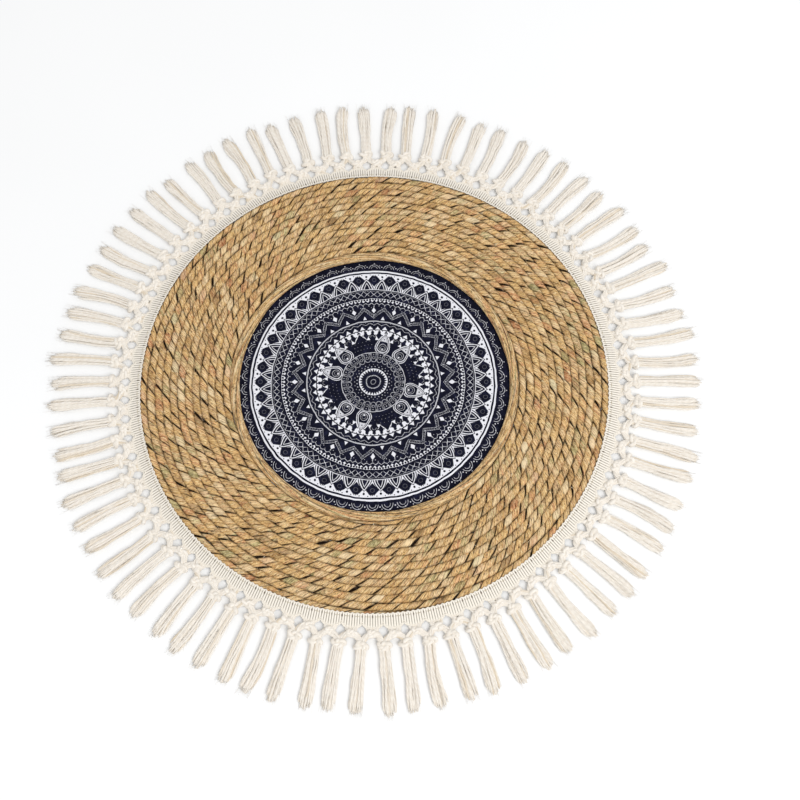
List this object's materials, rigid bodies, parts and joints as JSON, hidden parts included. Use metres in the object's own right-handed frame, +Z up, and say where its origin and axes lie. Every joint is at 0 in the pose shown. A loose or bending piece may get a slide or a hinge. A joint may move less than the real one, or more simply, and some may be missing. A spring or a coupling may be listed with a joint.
{
  "type": "chair seat pad",
  "caption": "Round chair seat pad of coiled straw rope with a printed cloth centre, a sewn header braid and a knotted fringe of cotton tassels that swing at their knots.",
  "frame": {"origin": "centre of the underside, on the surface that the pad lies on", "axes": "+Z up, through the pad's centre"},
  "size_m": [0.5266, 0.5274, 0.0064],
  "materials": {
    "printed_cotton": "matte",
    "felt": "matte",
    "plain_cotton": "matte",
    "sewing_thread": "matte",
    "straw": "satin",
    "braid_cotton": "matte",
    "fringe_cotton": "matte"
  },
  "bodies": {
    "pad": {"medallion_cloth": "printed_cotton", "medallion_wadding": "felt", "medallion_backing": "plain_cotton", "medallion_seam": "sewing_thread", "edge_cord": "straw", "straw_rope": "straw", "binding_threads": "sewing_thread", "header_braid": "braid_cotton", "header_stitches": "sewing_thread", "net_yarns": "fringe_cotton", "net_knots": "fringe_cotton", "tassel_knots": "fringe_cotton"},
    "tassels_01": {"tassels_01": "fringe_cotton"},
    "tassels_02": {"tassels_02": "fringe_cotton"},
    "tassels_03": {"tassels_03": "fringe_cotton"},
    "tassels_04": {"tassels_04": "fringe_cotton"},
    "tassels_05": {"tassels_05": "fringe_cotton"},
    "tassels_06": {"tassels_06": "fringe_cotton"},
    "tassels_07": {"tassels_07": "fringe_cotton"},
    "tassels_08": {"tassels_08": "fringe_cotton"},
    "tassels_09": {"tassels_09": "fringe_cotton"},
    "tassels_10": {"tassels_10": "fringe_cotton"},
    "tassels_11": {"tassels_11": "fringe_cotton"},
    "tassels_12": {"tassels_12": "fringe_cotton"},
    "tassels_13": {"tassels_13": "fringe_cotton"},
    "tassels_14": {"tassels_14": "fringe_cotton"},
    "tassels_15": {"tassels_15": "fringe_cotton"},
    "tassels_16": {"tassels_16": "fringe_cotton"},
    "tassels_17": {"tassels_17": "fringe_cotton"},
    "tassels_18": {"tassels_18": "fringe_cotton"},
    "tassels_19": {"tassels_19": "fringe_cotton"},
    "tassels_20": {"tassels_20": "fringe_cotton"},
    "tassels_21": {"tassels_21": "fringe_cotton"},
    "tassels_22": {"tassels_22": "fringe_cotton"},
    "tassels_23": {"tassels_23": "fringe_cotton"},
    "tassels_24": {"tassels_24": "fringe_cotton"},
    "tassels_25": {"tassels_25": "fringe_cotton"},
    "tassels_26": {"tassels_26": "fringe_cotton"}
  },
  "joints": [
    {"name": "tassels_01_swing", "type": "hinge", "parent": "pad", "child": "tassels_01", "pos_m": [0.21262, 0, 0.003], "axis": [0, 1, 0], "range_deg": [-65, 65]},
    {"name": "tassels_02_swing", "type": "hinge", "parent": "pad", "child": "tassels_02", "pos_m": [0.20644, 0.05088, 0.003], "axis": [-0.2393, 0.9709, 0], "range_deg": [-65, 65]},
    {"name": "tassels_03_swing", "type": "hinge", "parent": "pad", "child": "tassels_03", "pos_m": [0.18827, 0.09881, 0.003], "axis": [-0.4647, 0.8855, 0], "range_deg": [-65, 65]},
    {"name": "tassels_04_swing", "type": "hinge", "parent": "pad", "child": "tassels_04", "pos_m": [0.15915, 0.14099, 0.003], "axis": [-0.6631, 0.7485, 0], "range_deg": [-65, 65]},
    {"name": "tassels_05_swing", "type": "hinge", "parent": "pad", "child": "tassels_05", "pos_m": [0.12078, 0.17498, 0.003], "axis": [-0.823, 0.5681, 0], "range_deg": [-65, 65]},
    {"name": "tassels_06_swing", "type": "hinge", "parent": "pad", "child": "tassels_06", "pos_m": [0.0754, 0.1988, 0.003], "axis": [-0.935, 0.3546, 0], "range_deg": [-65, 65]},
    {"name": "tassels_07_swing", "type": "hinge", "parent": "pad", "child": "tassels_07", "pos_m": [0.02563, 0.21107, 0.003], "axis": [-0.9927, 0.1205, 0], "range_deg": [-65, 65]},
    {"name": "tassels_08_swing", "type": "hinge", "parent": "pad", "child": "tassels_08", "pos_m": [-0.02563, 0.21107, 0.003], "axis": [-0.9927, -0.1205, 0], "range_deg": [-65, 65]},
    {"name": "tassels_09_swing", "type": "hinge", "parent": "pad", "child": "tassels_09", "pos_m": [-0.0754, 0.1988, 0.003], "axis": [-0.935, -0.3546, 0], "range_deg": [-65, 65]},
    {"name": "tassels_10_swing", "type": "hinge", "parent": "pad", "child": "tassels_10", "pos_m": [-0.12078, 0.17498, 0.003], "axis": [-0.823, -0.5681, 0], "range_deg": [-65, 65]},
    {"name": "tassels_11_swing", "type": "hinge", "parent": "pad", "child": "tassels_11", "pos_m": [-0.15915, 0.14099, 0.003], "axis": [-0.6631, -0.7485, 0], "range_deg": [-65, 65]},
    {"name": "tassels_12_swing", "type": "hinge", "parent": "pad", "child": "tassels_12", "pos_m": [-0.18827, 0.09881, 0.003], "axis": [-0.4647, -0.8855, 0], "range_deg": [-65, 65]},
    {"name": "tassels_13_swing", "type": "hinge", "parent": "pad", "child": "tassels_13", "pos_m": [-0.20644, 0.05088, 0.003], "axis": [-0.2393, -0.9709, 0], "range_deg": [-65, 65]},
    {"name": "tassels_14_swing", "type": "hinge", "parent": "pad", "child": "tassels_14", "pos_m": [-0.21262, 0, 0.003], "axis": [0, -1, 0], "range_deg": [-65, 65]},
    {"name": "tassels_15_swing", "type": "hinge", "parent": "pad", "child": "tassels_15", "pos_m": [-0.20644, -0.05088, 0.003], "axis": [0.2393, -0.9709, 0], "range_deg": [-65, 65]},
    {"name": "tassels_16_swing", "type": "hinge", "parent": "pad", "child": "tassels_16", "pos_m": [-0.18827, -0.09881, 0.003], "axis": [0.4647, -0.8855, 0], "range_deg": [-65, 65]},
    {"name": "tassels_17_swing", "type": "hinge", "parent": "pad", "child": "tassels_17", "pos_m": [-0.15915, -0.14099, 0.003], "axis": [0.6631, -0.7485, 0], "range_deg": [-65, 65]},
    {"name": "tassels_18_swing", "type": "hinge", "parent": "pad", "child": "tassels_18", "pos_m": [-0.12078, -0.17498, 0.003], "axis": [0.823, -0.5681, 0], "range_deg": [-65, 65]},
    {"name": "tassels_19_swing", "type": "hinge", "parent": "pad", "child": "tassels_19", "pos_m": [-0.0754, -0.1988, 0.003], "axis": [0.935, -0.3546, 0], "range_deg": [-65, 65]},
    {"name": "tassels_20_swing", "type": "hinge", "parent": "pad", "child": "tassels_20", "pos_m": [-0.02563, -0.21107, 0.003], "axis": [0.9927, -0.1205, 0], "range_deg": [-65, 65]},
    {"name": "tassels_21_swing", "type": "hinge", "parent": "pad", "child": "tassels_21", "pos_m": [0.02563, -0.21107, 0.003], "axis": [0.9927, 0.1205, 0], "range_deg": [-65, 65]},
    {"name": "tassels_22_swing", "type": "hinge", "parent": "pad", "child": "tassels_22", "pos_m": [0.0754, -0.1988, 0.003], "axis": [0.935, 0.3546, 0], "range_deg": [-65, 65]},
    {"name": "tassels_23_swing", "type": "hinge", "parent": "pad", "child": "tassels_23", "pos_m": [0.12078, -0.17498, 0.003], "axis": [0.823, 0.5681, 0], "range_deg": [-65, 65]},
    {"name": "tassels_24_swing", "type": "hinge", "parent": "pad", "child": "tassels_24", "pos_m": [0.15915, -0.14099, 0.003], "axis": [0.6631, 0.7485, 0], "range_deg": [-65, 65]},
    {"name": "tassels_25_swing", "type": "hinge", "parent": "pad", "child": "tassels_25", "pos_m": [0.18827, -0.09881, 0.003], "axis": [0.4647, 0.8855, 0], "range_deg": [-65, 65]},
    {"name": "tassels_26_swing", "type": "hinge", "parent": "pad", "child": "tassels_26", "pos_m": [0.20644, -0.05088, 0.003], "axis": [0.2393, 0.9709, 0], "range_deg": [-65, 65]}
  ]
}
